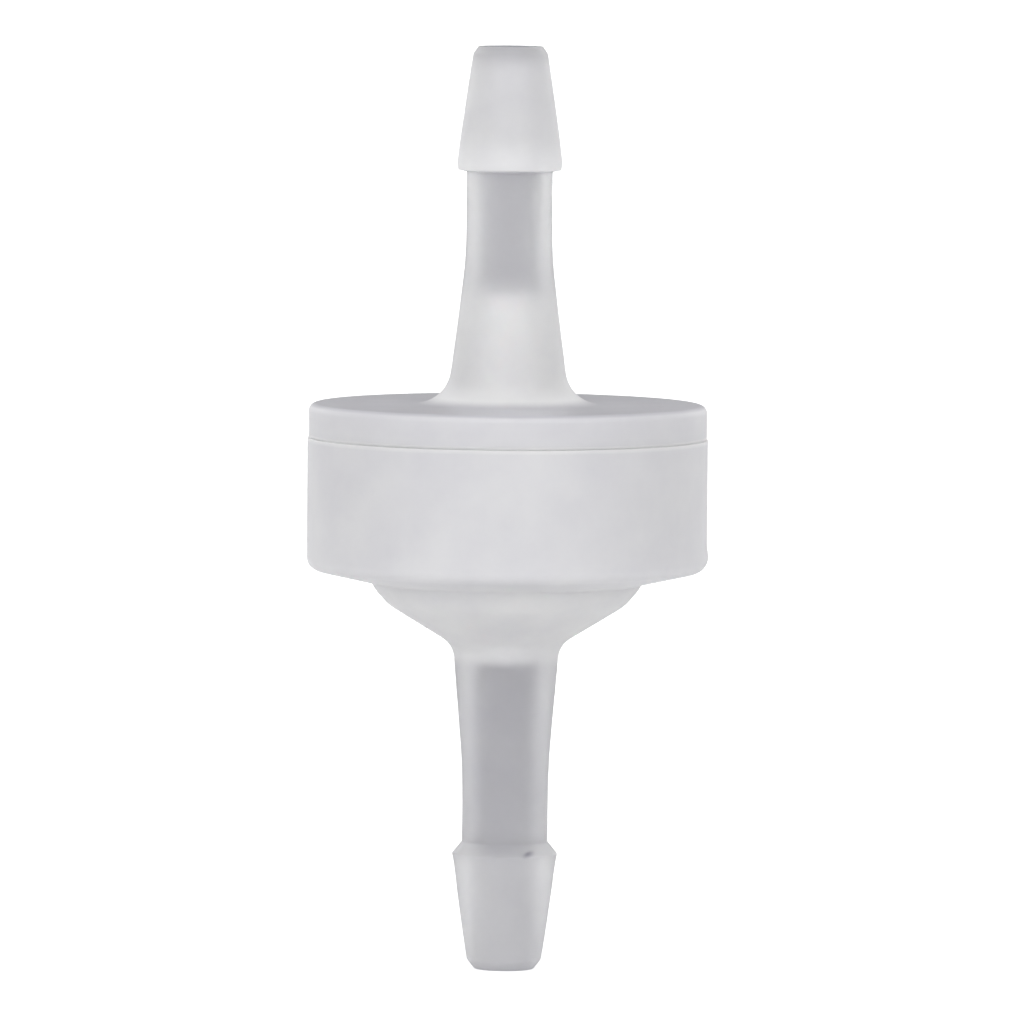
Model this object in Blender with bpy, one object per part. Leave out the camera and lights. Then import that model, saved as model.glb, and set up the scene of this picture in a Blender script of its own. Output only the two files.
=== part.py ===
"""Inline check valve with a hose barb at each end, for 5 mm bore tube.

A spring holds a poppet, with an O-ring on it, on a conical seat. Fluid pushed into the lower barb
lifts the poppet and leaves by the upper one; fluid from above shuts it. Two moulded housings make
the disc-shaped body: a deep cup below and a cap above, sealed by a second O-ring and welded.

Lengths below are millimetres. Radii are taken from the valve's axis and heights from the tip of
the lower barb. MM turns them into metres, and the finished valve has its centre at the origin,
with +Z towards the outlet.
"""

import math

import bmesh
import bpy
from mathutils import Matrix, Vector

MM = 0.001
TURN_STEPS = 40
ARC_STEP = math.radians(46)
SHARP_ANGLE = math.radians(30)
WELD = 1e-7

# The whole valve
LENGTH = 51.0
BORE = 1.3
SEATING_GAP = 0.05
SEAL_GAP = 0.03

# Hose barbs
BARB = 2.92
NECK = 2.38
TIP = 2.06
TIP_FACE = 1.66
TIP_ROUND = 0.4

# Disc-shaped body
CUP = 11.06
CAP = 11.0
UNDERSIDE_EDGE = 22.19
SEAM = 29.4
CAP_TOP = 31.28
SOCKET = 10.05
LEDGE = 26.6
CHAMBER = 9.45
CHAMBER_FLOOR = 23.0

# Conical seat in the cup, from the bore out
SEAT_SLOPE = 0.718
SEAT_LOW = 18.12
SEAT_EDGE = 6.5

# Cap's spigot, and the groove round it for the body seal
SPIGOT = SOCKET - 0.1
SPIGOT_INNER = 8.55
SPIGOT_END = 27.85
GROOVE = 9.15
GROOVE_LOW = 28.25
GROOVE_HIGH = 29.2
CAP_UNDERSIDE = 30.0
MOUTH_TOP = 31.2
MOUTH_TAPER_END = 37.6

# Guide spider, clamped between the cup's ledge and the spigot
SPIDER_LOW = LEDGE + SEATING_GAP
SPIDER_HIGH = SPIGOT_END - SEATING_GAP
SPIDER_RING = 8.6
HUB_BORE = 2.1
HUB = 2.95
HUB_LOW = 25.6
HUB_HIGH = 28.6
SPRING_SEAT = 3.8
ARM_WIDTH = 1.1
ARM_INSET = 0.1

# Poppet and its lift
LIFT = 1.6
FLANGE = 5.1
FLANGE_LOW = 21.36
FLANGE_HIGH = 22.4
SEAL_HUB = 3.85
SEAL_HUB_LOW = 20.45
BOSS = 2.7
STEM = 2.0
STEM_CONE_START = 30.4
STEM_TIP = 0.95
STEM_TOP = 37.2
FLUTE_START = 28.8
WING_THICKNESS = 0.9
PIN_HOLE = 0.8
PIN_HOLE_END = 22.1

# Nose cone, snapped up into the poppet
NOSE_LIP = 4.1
NOSE_CLEARANCE = 0.2
PILOT = 1.05
PILOT_END = 17.4

# Seals and spring
SEAL_WIRE = 0.45
SEAL_RADIUS = 4.32
BODY_SEAL_WIRE = 0.42
SPRING_WIRE = 0.3
SPRING_RADIUS = 3.3
SPRING_TURNS = 5.5
CLOSED_TURN_RISE = SPRING_WIRE + SEAL_GAP
SPRING_POINTS_PER_TURN = 16


def seat_height(radius):
    """Height of the conical seat's surface at a radius."""
    return SEAT_LOW + SEAT_SLOPE * (radius - BORE)


def rounded(corners):
    """The outline's points: each corner is (radius, height) or (radius, height, fillet radius)."""
    points = []
    for i, corner in enumerate(corners):
        here = Vector(corner[:2])
        if len(corner) == 2:
            points.append(here)
            continue
        fillet = corner[2]
        back = (Vector(corners[i - 1][:2]) - here).normalized()
        ahead = (Vector(corners[(i + 1) % len(corners)][:2]) - here).normalized()
        half = back.angle(ahead) / 2
        centre = here + (back + ahead).normalized() * fillet / math.sin(half)
        spoke = here + back * fillet / math.tan(half) - centre
        turn = math.copysign(math.pi - 2 * half, ahead.cross(back))
        pieces = max(1, math.ceil(abs(turn) / ARC_STEP))
        for k in range(pieces + 1):
            points.append(centre + Matrix.Rotation(turn * k / pieces, 2) @ spoke)
    return points


def at(x, y, height):
    """A point in the valve's frame, in metres."""
    return x * MM, y * MM, (height - LENGTH / 2) * MM


def add_object(name, data, finish=None):
    obj = bpy.data.objects.new(name, data)
    bpy.context.scene.collection.objects.link(obj)
    if finish:
        data.materials.append(finish)
    return obj


def add_solid(name, mesh, finish=None):
    """Turns a bmesh into a smooth-shaded object with its faces pointing out."""
    bmesh.ops.recalc_face_normals(mesh, faces=mesh.faces)
    data = bpy.data.meshes.new(name)
    mesh.to_mesh(data)
    mesh.free()
    data.shade_smooth()
    data.set_sharp_from_angle(angle=SHARP_ANGLE)
    return add_object(name, data, finish)


def lathe(name, corners, finish=None):
    """A turned solid. The outline is closed, or open where it starts and ends on the axis."""
    outline = rounded(corners)
    mesh = bmesh.new()
    verts = [mesh.verts.new(at(point.x, 0, point.y)) for point in outline]
    ends = zip(verts, verts[1:] if outline[0].x == 0 else verts[1:] + verts[:1])
    edges = [mesh.edges.new(pair) for pair in ends]
    turn = {"axis": (0, 0, 1), "cent": (0, 0, 0), "angle": math.tau, "steps": TURN_STEPS}
    bmesh.ops.spin(mesh, geom=verts + edges, use_merge=True, **turn)
    bmesh.ops.remove_doubles(mesh, verts=mesh.verts, dist=WELD)
    return add_solid(name, mesh, finish)


def o_ring(name, radius, wire, height, finish):
    """A torus, as a lathe of an eight-sided circle."""
    sides = 8
    angles = [math.tau * k / sides for k in range(sides)]
    circle = [(radius + wire * math.cos(a), height + wire * math.sin(a)) for a in angles]
    return lathe(name, circle, finish)


def boolean(target, tool, operation):
    """Adds a Boolean, and turns the tool into a helper that isn't a piece of the valve."""
    tool.hide_render = True
    tool.display_type = "WIRE"
    modifier = target.modifiers.new(tool.name, "BOOLEAN")
    modifier.operation = operation
    modifier.object = tool


def prism(name, outlines, low, high):
    """Upright extrusions of (x, y) outlines, as one helper mesh."""
    mesh = bmesh.new()
    for outline in outlines:
        face = mesh.faces.new([mesh.verts.new(at(x, y, low)) for x, y in outline])
        top = bmesh.ops.extrude_face_region(mesh, geom=[face])["geom"]
        raised = [item for item in top if isinstance(item, bmesh.types.BMVert)]
        bmesh.ops.translate(mesh, verts=raised, vec=(0, 0, (high - low) * MM))
    return add_solid(name, mesh)


def quarter_turns(count):
    return Matrix.Rotation(math.tau / 4 * count, 2)


def finish(name, colour, roughness, metallic=0.0, transmission=0.0):
    material = bpy.data.materials.new(name)
    material.use_nodes = True
    shader = material.node_tree.nodes["Principled BSDF"]
    shader.inputs["Base Color"].default_value = (*colour, 1.0)
    shader.inputs["Roughness"].default_value = roughness
    shader.inputs["Metallic"].default_value = metallic
    shader.inputs["Transmission Weight"].default_value = transmission
    material.diffuse_color = (*colour, 1.0)
    return material


def inlet_housing():
    """Lower barb, neck, flared cone and the cup that holds the works."""
    inside = [
        (BORE, 0.0),
        (BORE, SEAT_LOW, 0.2),
        (SEAT_EDGE, seat_height(SEAT_EDGE), 0.3),
        (SEAT_EDGE + 0.2, CHAMBER_FLOOR, 0.2),
        (CHAMBER, CHAMBER_FLOOR, 0.5),
        (CHAMBER, LEDGE),
        (SOCKET, LEDGE),
        (SOCKET, SEAM),
    ]
    cup = [
        (CUP, SEAM, 0.05),
        (CUP, UNDERSIDE_EDGE, 0.7),
        (7.62, 21.42),
        (7.45, 21.3),
        (7.15, 20.85),
        (6.35, 20.05),
        (2.94, 17.95, 1.4),
    ]
    neck_and_barb = [
        (NECK, 11.0),
        (NECK, 7.05, 0.15),
        (BARB, 6.4, 0.06),
        (2.77, 5.5),
        (2.49, 3.2),
        (TIP, 0.5, TIP_ROUND),
        (TIP_FACE, 0.0),
    ]
    plastic = finish("inlet_polypropylene", (0.8, 0.8, 0.83), 0.35, transmission=0.5)
    return lathe("inlet_housing", inside + cup + neck_and_barb, plastic)


def outlet_housing():
    """Cap with its spigot and seal groove, tapered nozzle, neck and upper barb."""
    inside = [
        (BORE, LENGTH),
        (BORE, MOUTH_TAPER_END),
        (2.45, MOUTH_TOP),
        (3.2, CAP_UNDERSIDE, 0.3),
        (SPIGOT_INNER, CAP_UNDERSIDE, 0.3),
        (SPIGOT_INNER, SPIGOT_END),
    ]
    spigot = [
        (SPIGOT, SPIGOT_END, 0.15),
        (SPIGOT, GROOVE_LOW),
        (GROOVE, GROOVE_LOW),
        (GROOVE, GROOVE_HIGH),
        (SPIGOT, GROOVE_HIGH),
        (SPIGOT, SEAM + SEATING_GAP),
    ]
    cap = [
        (CAP, SEAM + SEATING_GAP, 0.05),
        (CAP, CAP_TOP, 0.42),
        (3.41, CAP_TOP, 2.0),
    ]
    neck_and_barb = [
        (NECK, 39.4),
        (NECK, 44.1, 0.08),
        (2.86, 44.2, 0.06),
        (BARB - 0.01, 44.65),
        (2.53, 47.6),
        (TIP, LENGTH - 0.4, 0.3),
        (TIP_FACE + 0.12, LENGTH),
    ]
    plastic = finish("outlet_polypropylene", (0.8, 0.8, 0.83), 0.35, transmission=0.5)
    return lathe("outlet_housing", inside + spigot + cap + neck_and_barb, plastic)


def guide_spider():
    """Ring with four arms and a bored hub, whose flange is the spring's upper seat."""
    ring = [
        (SPIDER_RING, SPIDER_LOW),
        (SPIGOT, SPIDER_LOW),
        (SPIGOT, SPIDER_HIGH),
        (SPIDER_RING, SPIDER_HIGH),
    ]
    spider = lathe("guide_spider", ring, finish("guide_plastic", (0.85, 0.85, 0.86), 0.45))
    hub = [
        (0.0, HUB_LOW),
        (HUB, HUB_LOW, 0.15),
        (HUB, SPIDER_LOW),
        (SPRING_SEAT, SPIDER_LOW),
        (SPRING_SEAT, SPIDER_HIGH, 0.15),
        (HUB, SPIDER_HIGH, 0.15),
        (HUB, HUB_HIGH, 0.2),
        (0.0, HUB_HIGH),
    ]
    reach = (SPIDER_RING + SPIGOT) / 2
    half = ARM_WIDTH / 2
    quarter = [(reach, -half), (reach, half), (half, half)]
    cross = [quarter_turns(k) @ Vector(point) for k in range(4) for point in quarter]
    bore = [(0.0, HUB_LOW - 1), (HUB_BORE, HUB_LOW - 1), (HUB_BORE, HUB_HIGH + 1), (0.0, HUB_HIGH + 1)]
    boolean(spider, lathe("spider_hub_form", hub), "UNION")
    arms = prism("spider_arm_form", [cross], SPIDER_LOW + ARM_INSET, SPIDER_HIGH - ARM_INSET)
    boolean(spider, arms, "UNION")
    boolean(spider, lathe("spider_bore_cutter", bore), "DIFFERENCE")
    return spider


def poppet():
    """Flange over the seal, boss that stops the lift, round stem and fluted cone above it."""
    outline = [
        (0.0, PIN_HOLE_END),
        (PIN_HOLE, PIN_HOLE_END),
        (PIN_HOLE, SEAL_HUB_LOW),
        (SEAL_HUB, SEAL_HUB_LOW),
        (SEAL_HUB, FLANGE_LOW),
        (FLANGE, FLANGE_LOW, 0.15),
        (FLANGE, FLANGE_HIGH, 0.2),
        (BOSS, FLANGE_HIGH),
        (BOSS, HUB_LOW - LIFT - SEATING_GAP, 0.15),
        (STEM, HUB_LOW - LIFT - SEATING_GAP),
        (STEM, STEM_CONE_START),
        (STEM_TIP, STEM_TOP, 0.35),
        (0.0, STEM_TOP),
    ]
    body = lathe("poppet", outline, finish("poppet_plastic", (0.92, 0.92, 0.93), 0.4))
    near = WING_THICKNESS / 2
    far = STEM + 1
    corner = [(near, near), (far, near), (far, far), (near, far)]
    flutes = [[quarter_turns(k) @ Vector(point) for point in corner] for k in range(4)]
    boolean(body, prism("flute_cutter", flutes, FLUTE_START, STEM_TOP + 1), "DIFFERENCE")
    return body


def poppet_nose():
    """Cone that follows the seat, with a pilot in the bore and a pin up into the poppet."""
    pilot_top = seat_height(PILOT) + NOSE_CLEARANCE
    top = SEAL_HUB_LOW - SEATING_GAP
    outline = [
        (0.0, PIN_HOLE_END - 0.1),
        (PIN_HOLE - SEATING_GAP, PIN_HOLE_END - 0.1, 0.15),
        (PIN_HOLE - SEATING_GAP, top),
        (NOSE_LIP, top),
        (NOSE_LIP, seat_height(NOSE_LIP) + NOSE_CLEARANCE),
        (PILOT, pilot_top),
        (PILOT - 0.05, PILOT_END, 0.4),
        (0.0, PILOT_END),
    ]
    return lathe("poppet_nose", outline, finish("nose_plastic", (0.92, 0.92, 0.93), 0.4))


def spring_path():
    """Wire centres along the helix: a closed turn at each end and open turns between."""
    low = FLANGE_HIGH + SEATING_GAP + SPRING_WIRE / 2
    high = SPIDER_LOW - SEATING_GAP - SPRING_WIRE / 2
    pitch = (high - low - 2 * CLOSED_TURN_RISE) / (SPRING_TURNS - 2)
    for k in range(round(SPRING_TURNS * SPRING_POINTS_PER_TURN) + 1):
        turns = k / SPRING_POINTS_PER_TURN
        open_turns = min(max(turns - 1, 0), SPRING_TURNS - 2)
        height = low + CLOSED_TURN_RISE * (turns - open_turns) + pitch * open_turns
        angle = math.tau * turns
        yield at(SPRING_RADIUS * math.cos(angle), SPRING_RADIUS * math.sin(angle), height)


def spring():
    """Compression spring between the poppet's flange and the spider's hub."""
    curve = bpy.data.curves.new("spring", "CURVE")
    curve.dimensions = "3D"
    curve.bevel_depth = SPRING_WIRE / 2 * MM
    curve.bevel_resolution = 2
    curve.use_fill_caps = True
    points = list(spring_path())
    wire = curve.splines.new("POLY")
    wire.points.add(len(points) - 1)
    for point, place in zip(wire.points, points):
        point.co = (*place, 1.0)
    return add_object("spring", curve, finish("spring_steel", (0.6, 0.6, 0.62), 0.25, metallic=1.0))


def body_seal():
    """O-ring in the spigot's groove, against the wall of the cup's socket."""
    radius = GROOVE + SEAL_GAP + BODY_SEAL_WIRE
    height = (GROOVE_LOW + GROOVE_HIGH) / 2
    rubber = finish("body_seal_rubber", (0.7, 0.7, 0.7), 0.6)
    return o_ring("body_seal", radius, BODY_SEAL_WIRE, height, rubber)


def poppet_seal():
    """O-ring trapped between the poppet's flange and the nose cone's lip."""
    height = FLANGE_LOW - SEAL_GAP - SEAL_WIRE
    rubber = finish("poppet_seal_rubber", (0.7, 0.7, 0.7), 0.6)
    return o_ring("poppet_seal", SEAL_RADIUS, SEAL_WIRE, height, rubber)


def clear_scene():
    for obj in list(bpy.data.objects):
        bpy.data.objects.remove(obj, do_unlink=True)


def build():
    clear_scene()
    inlet_housing()
    outlet_housing()
    guide_spider()
    spring()
    body_seal()
    # The slide's empty stands on its axis, at the seat.
    lift = add_object("poppet_lift", None)
    lift.location = at(0, 0, seat_height(BORE))
    for piece in (poppet(), poppet_nose(), poppet_seal()):
        piece.parent = lift
        piece.matrix_parent_inverse = Matrix.Translation(lift.location).inverted()


build()
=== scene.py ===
"""Looks of the inline check valve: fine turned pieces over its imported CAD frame.

Sizes come from the frame: each turned piece follows the outline of its own CAD node, with the
facets smoothed into curves and the sharp edges eased, and only its small marks are set here.
"""

import math

import bmesh
import bpy
import numpy as np
from mathutils import Matrix, Vector, noise


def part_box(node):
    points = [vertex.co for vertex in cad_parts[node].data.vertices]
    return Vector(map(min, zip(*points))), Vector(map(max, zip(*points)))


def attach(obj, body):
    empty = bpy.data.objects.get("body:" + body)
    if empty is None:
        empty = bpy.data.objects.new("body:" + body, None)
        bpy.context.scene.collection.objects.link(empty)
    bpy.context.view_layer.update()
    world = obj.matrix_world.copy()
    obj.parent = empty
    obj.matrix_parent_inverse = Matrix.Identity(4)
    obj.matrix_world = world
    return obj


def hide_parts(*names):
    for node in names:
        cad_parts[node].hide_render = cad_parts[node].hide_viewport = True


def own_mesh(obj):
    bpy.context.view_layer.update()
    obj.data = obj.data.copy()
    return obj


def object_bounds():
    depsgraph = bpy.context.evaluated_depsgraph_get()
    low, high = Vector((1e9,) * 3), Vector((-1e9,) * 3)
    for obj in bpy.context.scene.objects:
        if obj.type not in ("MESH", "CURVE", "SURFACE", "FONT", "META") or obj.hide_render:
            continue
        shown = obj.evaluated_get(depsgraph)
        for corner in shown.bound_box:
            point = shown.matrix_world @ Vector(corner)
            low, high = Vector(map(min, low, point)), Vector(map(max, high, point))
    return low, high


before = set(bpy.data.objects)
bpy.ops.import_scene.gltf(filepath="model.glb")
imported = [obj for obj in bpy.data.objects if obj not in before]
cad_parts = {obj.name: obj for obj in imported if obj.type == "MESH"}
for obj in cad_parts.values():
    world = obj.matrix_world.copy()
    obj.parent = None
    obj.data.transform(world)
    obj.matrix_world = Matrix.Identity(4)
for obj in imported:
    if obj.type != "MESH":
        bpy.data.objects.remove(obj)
cad_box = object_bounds()

MM = 0.001

# Outlines: heights that differ by less than ROUND_OFF are one. A turn over CORNER_TURN is a corner
# and gets EDGE_RADIUS, and a lone bend between stretches over LONG_STRETCH gets BEND_EASE. Curves
# turn by at most ARC_STEP from point to point. Shading breaks at edges over SHARP_ANGLE.
ROUND_OFF = 2e-6
CORNER_TURN = math.radians(52)
EDGE_RADIUS = 0.06 * MM
LONG_STRETCH = 1.5 * MM
BEND_EASE = 1.2 * MM
ARC_STEP = math.radians(7)
SHARP_ANGLE = math.radians(35)

# Facets round each kind of turned piece, and the longest step along its outline. The housings
# have fine steps within FINE_REACH of the nick and the seam.
HOUSING_STEPS = 192
INNER_STEPS = 128
POPPET_STEPS = 256
INNER_STEP = 0.6 * MM
POPPET_STEP = 0.2 * MM
SPIDER_STEP = 0.4 * MM
COARSE_STEP = 0.45 * MM
FINE_STEP = 0.1 * MM
FINE_REACH = 0.6 * MM

# Share of clear plastic, and of painted shade, at heights in mm from the lower tip
PAINTED = ("clear", "tint")
CLEAR = (
    (0, 0.55), (6, 0.55), (7.2, 0.65), (16.8, 0.65), (17.3, 0.33), (21.5, 0.3), (22.5, 0.15),
    (31.2, 0.15), (32.5, 0.38), (37, 0.52), (38.5, 0.85), (44.1, 0.85), (44.25, 0.25), (45, 0.3),
    (46, 0.45), (49.8, 0.45), (50.4, 0.65), (51, 0.65),
)
# Painted shade on the bore's wall: a dark band in the necks and barbs, none round the stem
BORE_PAINTED_SHADE = (
    (0, 1), (17.2, 1), (17.5, 0), (36.9, 0), (37.7, 0.65), (43.6, 0.65), (44.8, 0.58),
    (49.8, 0.58), (50.6, 0.9), (51, 0.9),
)
# Painted shade on the outer wall: greyer over the disc, most on the cap's top face, little at the
# seam
WALL_PAINTED_SHADE = (
    (0, 0.1), (6, 0.1), (7, 0.2), (16.8, 0.2), (17.3, 0.08), (20.5, 0.08), (21.3, 0.14),
    (22, 0.29), (29.2, 0.29), (29.3, 0.03), (29.5, 0.03), (29.6, 0.32), (31.1, 0.36), (31.2, 0.6),
    (31.29, 0.6), (31.6, 0), (43.8, 0), (44.6, 0.08), (51, 0.08),
)
BORE_WALL = 1.6 * MM

# The outer wall is uneven by up to twice UNEVEN, in hollows about 1 / UNEVEN_SCALE metres apart
UNEVEN = 0.012 * MM
UNEVEN_SCALE = 260

# A nick on the lower barb's shoulder, slanted, and a gate stub on the cup's lower edge at +X
NICK_ANGLE = math.radians(-61)
NICK_HEIGHT = 6.55 * MM
NICK_SLANT = 0.25
NICK_SIZE = (0.38 * MM, 0.13 * MM)
NICK_DEPTH = 0.13 * MM
GATE_HEIGHT = 22.9 * MM
GATE_SIZE = (0.9 * MM, 0.45 * MM)
GATE_RISE = 0.08 * MM
DISC_SIDE = 10.5 * MM

# The cap's lower edge, outside SEAM_INSIDE, drops by SEAM_GAP so that a hairline seam is left.
# Its rounding, the points up to SEAM_ROUND above it, moves out to the wall and shrinks.
SEAM_HEIGHT = 29.4 * MM
SEAM_GAP = 0.03 * MM
SEAM_ROUND = 0.04 * MM
SEAM_SHRINK = 0.4
SEAM_INSIDE = 10.2 * MM

# Poppet stem: where its flutes start above the lower tip, their run-out, half a wing, its core
FLUTES = 4
FLUTE_START = 28.8 * MM
FLUTE_RUN_OUT = 0.6 * MM
WING_HALF = 0.45 * MM
STEM_CORE = 0.8 * MM

# Guide spider: where its ring, its hub's end and its flange are looked for in the CAD node, what
# the hub's eased edge takes off its radius there, and its arms
RIM_REACH = 0.1 * MM
RING_OUTSIDE = 8 * MM
HUB_END = 0.3 * MM
HUB_EDGE = 0.05 * MM
FLANGE_WITHIN = 4.5 * MM
ARMS = 4
ARM_HALF = 0.55 * MM
ARM_INSET = 0.1 * MM
ARM_ROUND = 0.16 * MM
ARM_FROM_BORE = 0.35 * MM
ARM_FROM_RIM = 0.5 * MM

# Spring: its wire, and the gap between each closed end turn and the next
WIRE_RADIUS = 0.15 * MM
WIRE_SIDES = 14
SPRING_TURNS = 5.5
POINTS_PER_TURN = 40
TURN_GAP = 0.03 * MM

# Strengths of the light from above, from the front and from behind on both sides, of the rest of
# the surroundings, and of the floor's own white as the camera sees it
ZENITH = 0.65
FRONT = 2.1
STRIPS = 1.6
AMBIENT = 0.11
FLOOR_GLOW = 0.4

# Where each light fades in, as parts of a unit direction. Straight ahead the front light dips.
ABOVE = (0.35, 0.9)
AHEAD = (-0.1, -0.97)
AHEAD_WAY = (0.05, 0.97)
DIP = (0.1, 0.65)
DIP_SHARE = 0.55
BESIDE = (0.12, 0.42)
BEHIND = (0.4, 0.65)

FLOOR_RADIUS = 2.6
FLOOR_SIDES = 96
FLOOR_DROP = 0.02 * MM

CAMERA_DISTANCE = 0.6
CAMERA_ELEVATION = math.radians(4.0)
CAMERA_ROLL = math.radians(0.45)
CAMERA_TARGET = (0.264 * MM, 0, -0.2 * MM)
FRAME_WIDTH = 56.53 * MM
SENSOR = 36


# ---------------------------------------------------------------- outlines read from the frame


def axial_links(node):
    """The node's (radius, height) points on the half plane through +X, each with its neighbours."""
    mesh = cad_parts[node].data
    found = {}
    for vertex in mesh.vertices:
        if abs(vertex.co.y) < ROUND_OFF and vertex.co.x > -ROUND_OFF:
            found[vertex.index] = (round(max(vertex.co.x, 0.0), 6), round(vertex.co.z, 6))
    links = {point: set() for point in found.values()}
    for edge in mesh.edges:
        a, b = (found.get(index) for index in edge.vertices)
        if a is not None and b is not None and a != b:
            links[a].add(b)
            links[b].add(a)
    return links


def close_flats(links):
    """Joins loose ends at one height, because a flat ring's facets need no edge in that plane."""
    loose = [p for p in links if len(links[p]) == 1 and p[0] > 0]
    loose.sort(key=lambda p: (p[1], p[0]))
    for a, b in zip(loose, loose[1:]):
        if abs(a[1] - b[1]) < ROUND_OFF and len(links[a]) == 1 and len(links[b]) == 1:
            links[a].add(b)
            links[b].add(a)


def outline_of(node):
    """The node's outline in order, and whether it is closed or runs from axis to axis."""
    links = axial_links(node)
    close_flats(links)
    ends = sorted(p for p in links if len(links[p]) == 1)
    here = ends[0] if ends else min(links, key=lambda p: (p[1], p[0]))
    before = None
    path = []
    while here is not None and (not path or here != path[0]):
        path.append(here)
        ahead = [p for p in sorted(links[here]) if p != before]
        before, here = here, (ahead[0] if ahead else None)
    return [Vector(p) for p in path], not ends


# ---------------------------------------------------------------- smoothing an outline


def neighbours(path, closed, i):
    """The points before and after point i, or None past an open end."""
    before = path[i - 1] if closed or i > 0 else None
    after = path[(i + 1) % len(path)] if closed or i + 1 < len(path) else None
    return before, after


def ease_at(path, closed, i):
    """How far from point i its round should start: a little at a corner, more at a slight bend."""
    before, after = neighbours(path, closed, i)
    if before is None or after is None:
        return 0.0
    turn = (path[i] - before).angle(after - path[i])
    shortest = min((path[i] - before).length, (after - path[i]).length)
    if turn > CORNER_TURN:
        return min(EDGE_RADIUS, 0.3 * shortest)
    if shortest > LONG_STRETCH:
        return min(BEND_EASE, 0.45 * shortest)
    return 0.0


def eased(path, closed):
    """The outline with each corner and lone bend replaced by the two ends of its round."""
    points = []
    for i, here in enumerate(path):
        ease = ease_at(path, closed, i)
        if ease == 0.0:
            points.append(here)
            continue
        for other in neighbours(path, closed, i):
            points.append(here + (other - here).normalized() * ease)
    return points


def tangent_at(path, closed, i):
    """Direction at point i, led by the longer stretch beside it so that straights stay straight."""
    before, after = neighbours(path, closed, i)
    way = Vector((0.0, 0.0))
    for a, b in ((before, path[i]), (path[i], after)):
        if a is not None and b is not None:
            way += (b - a) * (b - a).length_squared
    return way.normalized()


def smoothed(path, closed, longest):
    """The outline as fine points, on Hermite curves, with no step over longest(height)."""
    path = eased(path, closed)
    tangents = [tangent_at(path, closed, i) for i in range(len(path))]
    points = []
    for i, start in enumerate(path if closed else path[:-1]):
        j = (i + 1) % len(path)
        end = path[j]
        span = (end - start).length
        turn = tangents[i].angle(tangents[j])
        step = min(longest(start.y), longest(end.y))
        pieces = max(1, math.ceil(turn / ARC_STEP), math.ceil(span / step))
        for k in range(pieces):
            t = k / pieces
            u = 1 - t
            points.append(
                start * (1 + 2 * t) * u * u
                + end * t * t * (3 - 2 * t)
                + (tangents[i] * t * u * u - tangents[j] * t * t * u) * span
            )
    return points if closed else points + [path[-1]]


# ---------------------------------------------------------------- making pieces


def add_mesh(name, mesh, material):
    """Makes an object from a bmesh, facing out and smooth, with its material."""
    bmesh.ops.recalc_face_normals(mesh, faces=mesh.faces)
    data = bpy.data.meshes.new(name)
    mesh.to_mesh(data)
    mesh.free()
    data.shade_smooth()
    data.set_sharp_from_angle(angle=SHARP_ANGLE)
    data.materials.append(material)
    piece = bpy.data.objects.new(name, data)
    bpy.context.scene.collection.objects.link(piece)
    return piece


def declare(piece, node, body):
    """Puts a piece on the body it rides on and hides the CAD node that it stands for."""
    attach(piece, body)
    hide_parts(node)
    return piece


def plain(radius, height, angle):
    """The shape of a round piece: the outline's own radius."""
    return radius


def revolve(name, outline, closed, steps, material, shape=plain, paint=None):
    """Turns the outline about Z. shape gives a point's radius, paint its shares of clear plastic
    and of painted shade.
    """
    mesh = bmesh.new()
    layers = {key: mesh.verts.layers.float.new(key) for key in PAINTED} if paint else {}
    rings = []
    for point in outline:
        height = min(max(point.y, cad_box[0].z), cad_box[1].z)
        ring = []
        for k in range(steps):
            angle = math.tau * k / steps
            radius = shape(point.x, height, angle)
            vertex = mesh.verts.new((radius * math.cos(angle), radius * math.sin(angle), height))
            for key, layer in layers.items():
                vertex[layer] = paint(key, point.x, height, angle)
            if point.x == 0:
                ring = [vertex] * steps
                break
            ring.append(vertex)
        rings.append(ring)
    for low, high in zip(rings, rings[1:] + rings[:1] if closed else rings[1:]):
        for k in range(steps):
            m = (k + 1) % steps
            mesh.faces.new(dict.fromkeys((low[k], low[m], high[m], high[k])))
    return add_mesh(name, mesh, material)


def bump(along, across, length, width):
    """A round hill, 1 at its middle and close to 0 past its length and width."""
    return math.exp(-((along / length) ** 2) - (across / width) ** 2)


def beside(angle, middle):
    """Signed difference of two angles, from -pi to pi."""
    return (angle - middle + math.pi) % math.tau - math.pi


# ---------------------------------------------------------------- materials


def new_material(name):
    """A material with its Principled shader, and a helper that adds nodes to it."""
    material = bpy.data.materials.new(name)
    material.use_nodes = True
    tree = material.node_tree
    shader = tree.nodes["Principled BSDF"]

    def add(kind, **values):
        node = tree.nodes.new(kind)
        for key, value in values.items():
            if key in node.inputs:
                node.inputs[key].default_value = value
            else:
                setattr(node, key.lower(), value)
        return node

    return material, tree, shader, add


def cloudy(tree, add, scale, detail, dark, light, low=0.3):
    """A noise in the object's own space, ramped between two colours, and its coordinates."""
    place = add("ShaderNodeTexCoord")
    cloud = add("ShaderNodeTexNoise", Scale=scale, Detail=detail, Roughness=0.55)
    ramp = add("ShaderNodeValToRGB")
    ramp.color_ramp.elements[0].position = low
    ramp.color_ramp.elements[1].position = 0.7
    ramp.color_ramp.elements[0].color = (*dark, 1)
    ramp.color_ramp.elements[1].color = (*light, 1)
    tree.links.new(place.outputs["Object"], cloud.inputs["Vector"])
    tree.links.new(cloud.outputs["Fac"], ramp.inputs["Fac"])
    return place, ramp


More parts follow.
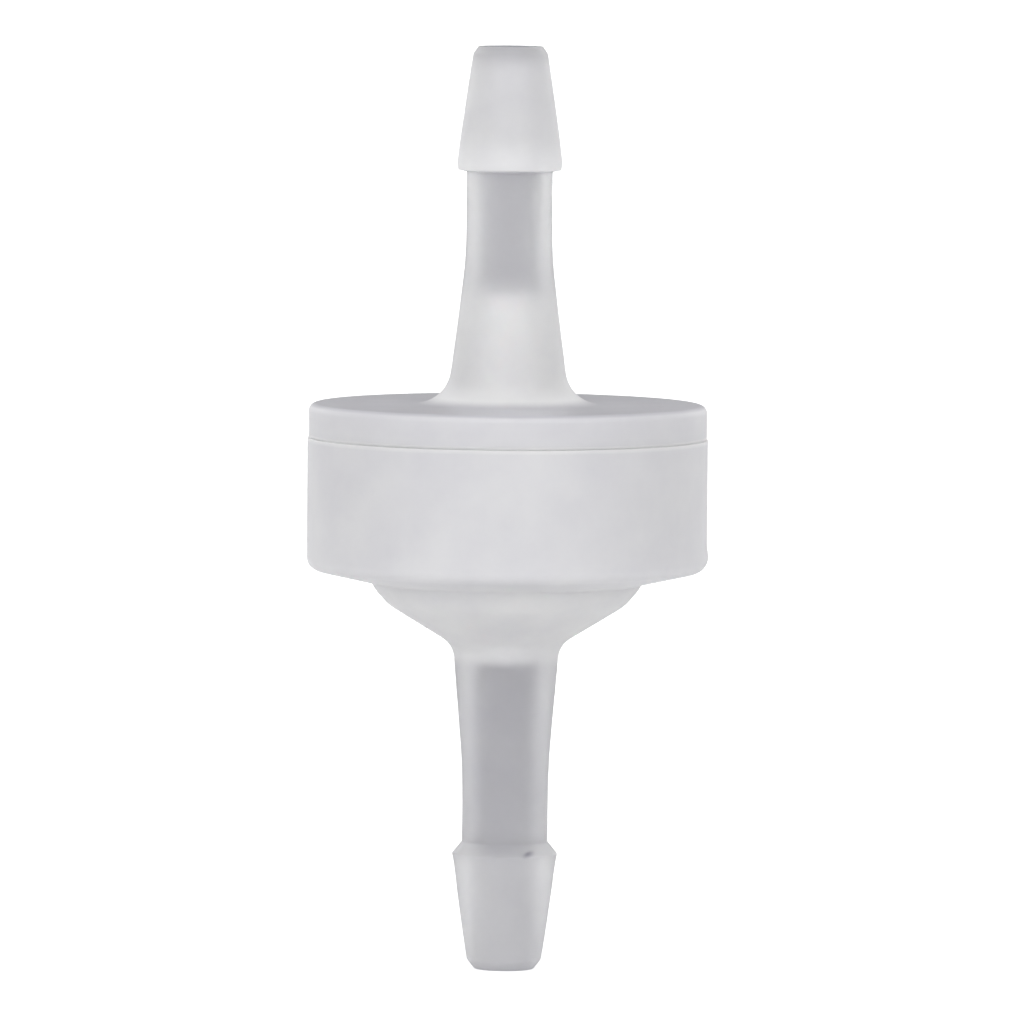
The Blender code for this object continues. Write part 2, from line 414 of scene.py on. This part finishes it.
def satin(tree, shader, add, place, scale, distance, smooth, rough):
    """Fine surface texture: a bump, and roughness that varies with it."""
    grain = add("ShaderNodeTexNoise", Scale=scale, Detail=4.0, Roughness=0.6)
    bump = add("ShaderNodeBump", Strength=0.35, Distance=distance)
    span = add("ShaderNodeMapRange")
    span.inputs["To Min"].default_value = smooth
    span.inputs["To Max"].default_value = rough
    tree.links.new(place.outputs["Object"], grain.inputs["Vector"])
    tree.links.new(grain.outputs["Fac"], bump.inputs["Height"])
    tree.links.new(grain.outputs["Fac"], span.inputs["Value"])
    tree.links.new(span.outputs["Result"], shader.inputs["Roughness"])
    tree.links.new(bump.outputs["Normal"], shader.inputs["Normal"])


def painted(tree, name):
    """A value painted on the mesh's points."""
    node = tree.nodes.new("ShaderNodeAttribute")
    node.attribute_name = name
    return node.outputs["Fac"]


def milky_polypropylene():
    """Natural polypropylene: cloudy, with light spreading through it, satin outside, and painted
    shade mixed into its colour.
    """
    material, tree, shader, add = new_material("milky_polypropylene")
    place, ramp = cloudy(tree, add, 330, 4.0, (0.862, 0.86, 0.873), (0.93, 0.93, 0.928))
    # Painted shade: the mesh's painted share mixes a lavender grey into the colour, darkening the
    # bore and walls
    mix = tree.nodes.new("ShaderNodeMix")
    mix.data_type = "RGBA"
    tree.links.new(painted(tree, "tint"), mix.inputs["Factor"])
    tree.links.new(ramp.outputs["Color"], mix.inputs["A"])
    mix.inputs["B"].default_value = (0.35, 0.344, 0.4, 1)
    tree.links.new(mix.outputs["Result"], shader.inputs["Base Color"])
    tree.links.new(painted(tree, "clear"), shader.inputs["Transmission Weight"])
    shader.inputs["IOR"].default_value = 1.49
    shader.inputs["Subsurface Weight"].default_value = 1.0
    shader.inputs["Subsurface Radius"].default_value = (1.0, 1.0, 1.0)
    shader.inputs["Subsurface Scale"].default_value = 0.7 * MM
    satin(tree, shader, add, place, 5200, 0.012 * MM, 0.44, 0.53)
    paths = tree.nodes.new("ShaderNodeLightPath")
    clear = tree.nodes.new("ShaderNodeBsdfTransparent")
    clear.inputs["Color"].default_value = (0.8, 0.8, 0.82, 1)
    either = tree.nodes.new("ShaderNodeMixShader")
    output = tree.nodes["Material Output"]
    tree.links.new(paths.outputs["Is Shadow Ray"], either.inputs[0])
    tree.links.new(shader.outputs["BSDF"], either.inputs[1])
    tree.links.new(clear.outputs["BSDF"], either.inputs[2])
    tree.links.new(either.outputs["Shader"], output.inputs["Surface"])
    return material


def white_acetal():
    """White moulded plastic of the poppet and the guide spider."""
    material, tree, shader, add = new_material("white_acetal")
    place, ramp = cloudy(tree, add, 600, 2.0, (0.92, 0.92, 0.92), (0.95, 0.95, 0.945))
    tree.links.new(ramp.outputs["Color"], shader.inputs["Base Color"])
    shader.inputs["Subsurface Weight"].default_value = 0.3
    shader.inputs["Subsurface Scale"].default_value = 0.5 * MM
    satin(tree, shader, add, place, 6000, 0.01 * MM, 0.3, 0.45)
    return material


def clear_silicone():
    """Milky rubber of the O-rings."""
    material, tree, shader, add = new_material("clear_silicone")
    place, ramp = cloudy(tree, add, 900, 2.0, (0.66, 0.66, 0.65), (0.74, 0.74, 0.73))
    tree.links.new(ramp.outputs["Color"], shader.inputs["Base Color"])
    shader.inputs["IOR"].default_value = 1.41
    shader.inputs["Subsurface Weight"].default_value = 0.6
    shader.inputs["Subsurface Scale"].default_value = 0.6 * MM
    satin(tree, shader, add, place, 8000, 0.008 * MM, 0.35, 0.6)
    return material


def drawn_wire():
    """Stainless wire with fine drawing scratches."""
    material, tree, shader, add = new_material("drawn_wire")
    place, ramp = cloudy(tree, add, 3000, 3.0, (0.55, 0.55, 0.56), (0.68, 0.68, 0.68), 0.35)
    tree.links.new(ramp.outputs["Color"], shader.inputs["Base Color"])
    shader.inputs["Metallic"].default_value = 1.0
    satin(tree, shader, add, place, 14000, 0.004 * MM, 0.18, 0.34)
    return material


# ---------------------------------------------------------------- pieces


def rise(height):
    """Height above the lower tip, in metres."""
    return height - cad_box[0].z


def nick(radius, height, angle):
    """1 in the middle of the nick on the lower barb's shoulder, 0 away from it."""
    along = beside(angle, NICK_ANGLE) * radius
    return bump(along, rise(height) - NICK_HEIGHT - NICK_SLANT * along, *NICK_SIZE)


def housing_radius(radius, height, angle):
    """A moulded wall: faintly uneven outside, with its nick and its gate stub."""
    if radius < BORE_WALL:
        return radius
    place = Vector((math.cos(angle) * radius, math.sin(angle) * radius, height))
    radius -= UNEVEN * (1 + noise.noise(place * UNEVEN_SCALE))
    if radius > DISC_SIDE:
        along = beside(angle, 0) * radius
        radius += GATE_RISE * bump(along, rise(height) - GATE_HEIGHT, *GATE_SIZE)
    return radius - NICK_DEPTH * nick(radius, height, angle)


def housing_paint(key, radius, height, angle):
    """The plastic is clearer in the thin necks; painted shade greys the bore's wall, the outer wall
    by height, and the nick.
    """
    table = CLEAR if key == "clear" else BORE_PAINTED_SHADE if radius < BORE_WALL else WALL_PAINTED_SHADE
    heights, shares = zip(*table)
    share = float(np.interp(rise(height) / MM, heights, shares))
    # The nick's recess is painted fully in shade
    return share if key == "clear" else max(share, nick(radius, height, angle))


def housing_step(height):
    """Longest step along a housing's outline, finer at the nick and the seam."""
    fine = any(abs(rise(height) - place) < FINE_REACH for place in (NICK_HEIGHT, SEAM_HEIGHT))
    return FINE_STEP if fine else COARSE_STEP


def close_seam(path):
    """Brings the cap's lower outer edge down and out, flush with the cup below it."""
    seam = min(p.y for p in path if p.x > SEAM_INSIDE)
    skirt = max(p.x for p in path)
    for point in path:
        if point.x > SEAM_INSIDE and point.y < seam + SEAM_ROUND:
            above = 0 if point.y < seam + ROUND_OFF else SEAM_SHRINK * (point.y - seam)
            point.y = seam - SEAM_GAP + above
            point.x = skirt


def housing(name, node, material):
    """One of the two welded halves of the valve's body."""
    path, closed = outline_of(node)
    if node == "outlet_housing":
        close_seam(path)
    points = smoothed(path, closed, housing_step)
    piece = revolve(name, points, closed, HOUSING_STEPS, material, housing_radius, housing_paint)
    return declare(piece, node, "valve_body")


def turned(name, node, body, material, steps=INNER_STEPS, shape=plain, longest=INNER_STEP):
    """A plain turned piece that stands for a CAD node."""
    path, closed = outline_of(node)
    points = smoothed(path, closed, lambda height: longest)
    return declare(revolve(name, points, closed, steps, material, shape), node, body)


def fluted(radius, height, angle):
    """The poppet's stem: above its round part, four flutes leave wings on the axes."""
    depth = min(1.0, max(0.0, (rise(height) - FLUTE_START) / FLUTE_RUN_OUT))
    if depth == 0.0 or radius < WING_HALF:
        return radius
    from_axis = abs(beside(angle * FLUTES, 0)) / FLUTES
    side = max(WING_HALF / max(math.sin(from_axis), 1e-6), STEM_CORE)
    depth = depth * depth * (3 - 2 * depth)
    return radius + depth * (min(radius, side) - radius)


def spider_arms(inner, outer, low, high, material):
    """Bars with rounded edges from the hub out to the ring, a little thinner than both."""
    mesh = bmesh.new()
    for k in range(ARMS):
        turn = Matrix.Rotation(math.tau / ARMS * k, 3, "Z")
        for vertex in bmesh.ops.create_cube(mesh, size=1)["verts"]:
            x = inner if vertex.co.x < 0 else outer
            z = low + ARM_INSET if vertex.co.z < 0 else high - ARM_INSET
            vertex.co = turn @ Vector((x, math.copysign(ARM_HALF, vertex.co.y), z))
    bmesh.ops.bevel(
        mesh, geom=mesh.edges[:], offset=ARM_ROUND, segments=4, profile=0.5, affect="EDGES"
    )
    return add_mesh("spider_arms", mesh, material)


def join(body, tools):
    """Unites the tools with the body by exact booleans and removes them."""
    for tool in tools:
        union = body.modifiers.new(tool.name, "BOOLEAN")
        union.operation = "UNION"
        union.solver = "EXACT"
        union.object = tool
    graph = bpy.context.evaluated_depsgraph_get()
    joined = bpy.data.meshes.new_from_object(body.evaluated_get(graph))
    body.modifiers.clear()
    old = body.data
    body.data = joined
    bpy.data.meshes.remove(old)
    for tool in tools:
        bpy.data.objects.remove(tool)
    body.data.shade_smooth()
    body.data.set_sharp_from_angle(angle=SHARP_ANGLE)


def spider(material):
    """Guide spider: a ring, a flanged hub with a bore, and four round-edged arms, joined."""
    low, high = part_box("guide_spider")
    coords = [v.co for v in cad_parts["guide_spider"].data.vertices]
    rim = high.x
    ring_low = min(c.z for c in coords if c.xy.length > rim - RIM_REACH)
    ring_high = max(c.z for c in coords if c.xy.length > rim - RIM_REACH)
    ring_inside = min(c.xy.length for c in coords if c.xy.length > RING_OUTSIDE)
    bore = min(c.xy.length for c in coords)
    hub = max(c.xy.length for c in coords if c.z > high.z - HUB_END) + HUB_EDGE
    flange = max(c.xy.length for c in coords if c.xy.length < FLANGE_WITHIN)

    def spun(name, loop):
        points = smoothed([Vector(point) for point in loop], True, lambda height: SPIDER_STEP)
        return revolve(name, points, True, INNER_STEPS, material)

    ring = [(ring_inside, ring_low), (rim, ring_low), (rim, ring_high), (ring_inside, ring_high)]
    middle = [
        (bore, low.z), (hub, low.z), (hub, ring_low), (flange, ring_low),
        (flange, ring_high), (hub, ring_high), (hub, high.z), (bore, high.z),
    ]
    body = spun("guide_spider_fine", ring)
    core = spun("spider_hub", middle)
    arms = spider_arms(bore + ARM_FROM_BORE, rim - ARM_FROM_RIM, ring_low, ring_high, material)
    join(body, (core, arms))
    return declare(body, "guide_spider", "valve_body")


def sweep(name, centres, radius, sides, material):
    """A round wire along a line of points, with flat ends."""
    mesh = bmesh.new()
    rings = []
    for i, centre in enumerate(centres):
        ahead = (centres[min(i + 1, len(centres) - 1)] - centres[max(i - 1, 0)]).normalized()
        out = Vector((centre.x, centre.y, 0)).normalized()
        up = ahead.cross(out).normalized()
        out = up.cross(ahead)
        ring = []
        for k in range(sides):
            angle = math.tau * k / sides
            offset = (out * math.cos(angle) + up * math.sin(angle)) * radius
            ring.append(mesh.verts.new(centre + offset))
        rings.append(ring)
    for low, high in zip(rings, rings[1:]):
        for k in range(sides):
            m = (k + 1) % sides
            mesh.faces.new((low[k], low[m], high[m], high[k]))
    mesh.faces.new(rings[0])
    mesh.faces.new(rings[-1])
    return add_mesh(name, mesh, material)


def spring(material):
    """Compression spring from the poppet's flange to the spider, with a closed turn at each end."""
    low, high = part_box("spring")
    radius = high.x - WIRE_RADIUS
    bottom, top = low.z + WIRE_RADIUS, high.z - WIRE_RADIUS
    closed_rise = 2 * WIRE_RADIUS + TURN_GAP
    pitch = (top - bottom - 2 * closed_rise) / (SPRING_TURNS - 2)
    centres = []
    for k in range(round(SPRING_TURNS * POINTS_PER_TURN) + 1):
        turn = k / POINTS_PER_TURN
        open_turns = min(max(turn - 1, 0), SPRING_TURNS - 2)
        height = bottom + closed_rise * (turn - open_turns) + pitch * open_turns
        angle = math.tau * turn
        centres.append(Vector((radius * math.cos(angle), radius * math.sin(angle), height)))
    coil = sweep("coil_spring", centres, WIRE_RADIUS, WIRE_SIDES, material)
    piece = declare(coil, "spring", "valve_body")
    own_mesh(piece)
    return piece


def build_pieces():
    """All eight pieces of the valve."""
    plastic = milky_polypropylene()
    white = white_acetal()
    rubber = clear_silicone()
    housing("inlet_shell", "inlet_housing", plastic)
    housing("outlet_shell", "outlet_housing", plastic)
    turned("body_o_ring", "body_seal", "valve_body", rubber)
    turned("poppet_o_ring", "poppet_seal", "poppet_assembly", rubber)
    turned("nose_cone", "poppet_nose", "poppet_assembly", white)
    turned(
        "poppet_cone", "poppet", "poppet_assembly", white,
        POPPET_STEPS, fluted, POPPET_STEP,
    )
    spider(white)
    spring(drawn_wire())


# ---------------------------------------------------------------- studio


def light_tent():
    """White to the camera, and lit softly from above, from the front and from behind both sides."""
    world = bpy.data.worlds.new("white_tent")
    bpy.context.scene.world = world
    world.use_nodes = True
    tree = world.node_tree
    background = tree.nodes["Background"]

    def math_node(operation, first, second=0.0):
        node = tree.nodes.new("ShaderNodeMath")
        node.operation = operation
        for socket, value in zip(node.inputs, (first, second)):
            if isinstance(value, float):
                socket.default_value = value
            else:
                tree.links.new(value, socket)
        return node.outputs["Value"]

    def span(value, fade, end, start=0.0):
        node = tree.nodes.new("ShaderNodeMapRange")
        node.interpolation_type = "SMOOTHSTEP"
        tree.links.new(value, node.inputs["Value"])
        limits = (("From Min", fade[0]), ("From Max", fade[1]), ("To Min", start), ("To Max", end))
        for key, number in limits:
            node.inputs[key].default_value = number
        return node.outputs["Result"]

    place = tree.nodes.new("ShaderNodeTexCoord")
    split = tree.nodes.new("ShaderNodeSeparateXYZ")
    tree.links.new(place.outputs["Generated"], split.inputs["Vector"])
    x, y, z = (split.outputs[axis] for axis in "XYZ")
    aside = math_node("ABSOLUTE", x)
    across, along = (math_node("MULTIPLY", part, way) for part, way in zip((x, y), AHEAD_WAY))
    ahead = math_node("ADD", across, along)
    overhead = span(z, ABOVE, ZENITH)
    front = math_node("MULTIPLY", span(ahead, AHEAD, FRONT), span(aside, DIP, 1.0, DIP_SHARE))
    strips = math_node("MULTIPLY", span(aside, BESIDE, STRIPS), span(y, BEHIND, 1.0))
    light = math_node("ADD", math_node("ADD", overhead, front), math_node("ADD", strips, AMBIENT))
    paths = tree.nodes.new("ShaderNodeLightPath")
    strength = math_node("MAXIMUM", paths.outputs["Is Camera Ray"], light)
    tree.links.new(strength, background.inputs["Strength"])
    background.inputs["Color"].default_value = (1, 1, 1, 1)


def white_floor():
    """A wide white disc under the valve, a little brighter to the camera than it is lit."""
    mesh = bpy.data.meshes.new("floor")
    level = cad_box[0].z - FLOOR_DROP
    angles = [math.tau * k / FLOOR_SIDES for k in range(FLOOR_SIDES)]
    ring = [(FLOOR_RADIUS * math.cos(a), FLOOR_RADIUS * math.sin(a), level) for a in angles]
    mesh.from_pydata(ring, [], [tuple(range(FLOOR_SIDES))])
    floor = bpy.data.objects.new("floor", mesh)
    bpy.context.scene.collection.objects.link(floor)
    material, tree, shader, add = new_material("white_floor")
    shader.inputs["Base Color"].default_value = (0.96, 0.96, 0.96, 1)
    shader.inputs["Roughness"].default_value = 0.9
    shader.inputs["Specular IOR Level"].default_value = 0.0
    shader.inputs["Emission Color"].default_value = (1, 1, 1, 1)
    paths = add("ShaderNodeLightPath")
    glow = add("ShaderNodeMath")
    glow.operation = "MULTIPLY"
    glow.inputs[1].default_value = FLOOR_GLOW
    tree.links.new(paths.outputs["Is Camera Ray"], glow.inputs[0])
    tree.links.new(glow.outputs["Value"], shader.inputs["Emission Strength"])
    mesh.materials.append(material)


def studio():
    """Plain white floor and soft light, shown without tone mapping."""
    bpy.context.scene.view_settings.view_transform = "Standard"
    light_tent()
    white_floor()


def camera():
    """Long lens, a little above the disc, with the small roll that the valve leans by."""
    data = bpy.data.cameras.new("camera")
    data.sensor_width = SENSOR
    data.lens = SENSOR * CAMERA_DISTANCE / FRAME_WIDTH
    data.clip_start = 0.01
    data.clip_end = 50
    cam = bpy.data.objects.new("camera", data)
    back = Vector((0, -math.cos(CAMERA_ELEVATION), math.sin(CAMERA_ELEVATION)))
    cam.location = Vector(CAMERA_TARGET) + back * CAMERA_DISTANCE
    cam.rotation_mode = "QUATERNION"
    roll = Matrix.Rotation(CAMERA_ROLL, 3, "Z").to_quaternion()
    cam.rotation_quaternion = (-back).to_track_quat("-Z", "Y") @ roll
    bpy.context.scene.collection.objects.link(cam)
    bpy.context.scene.camera = cam


build_pieces()
studio()
camera()
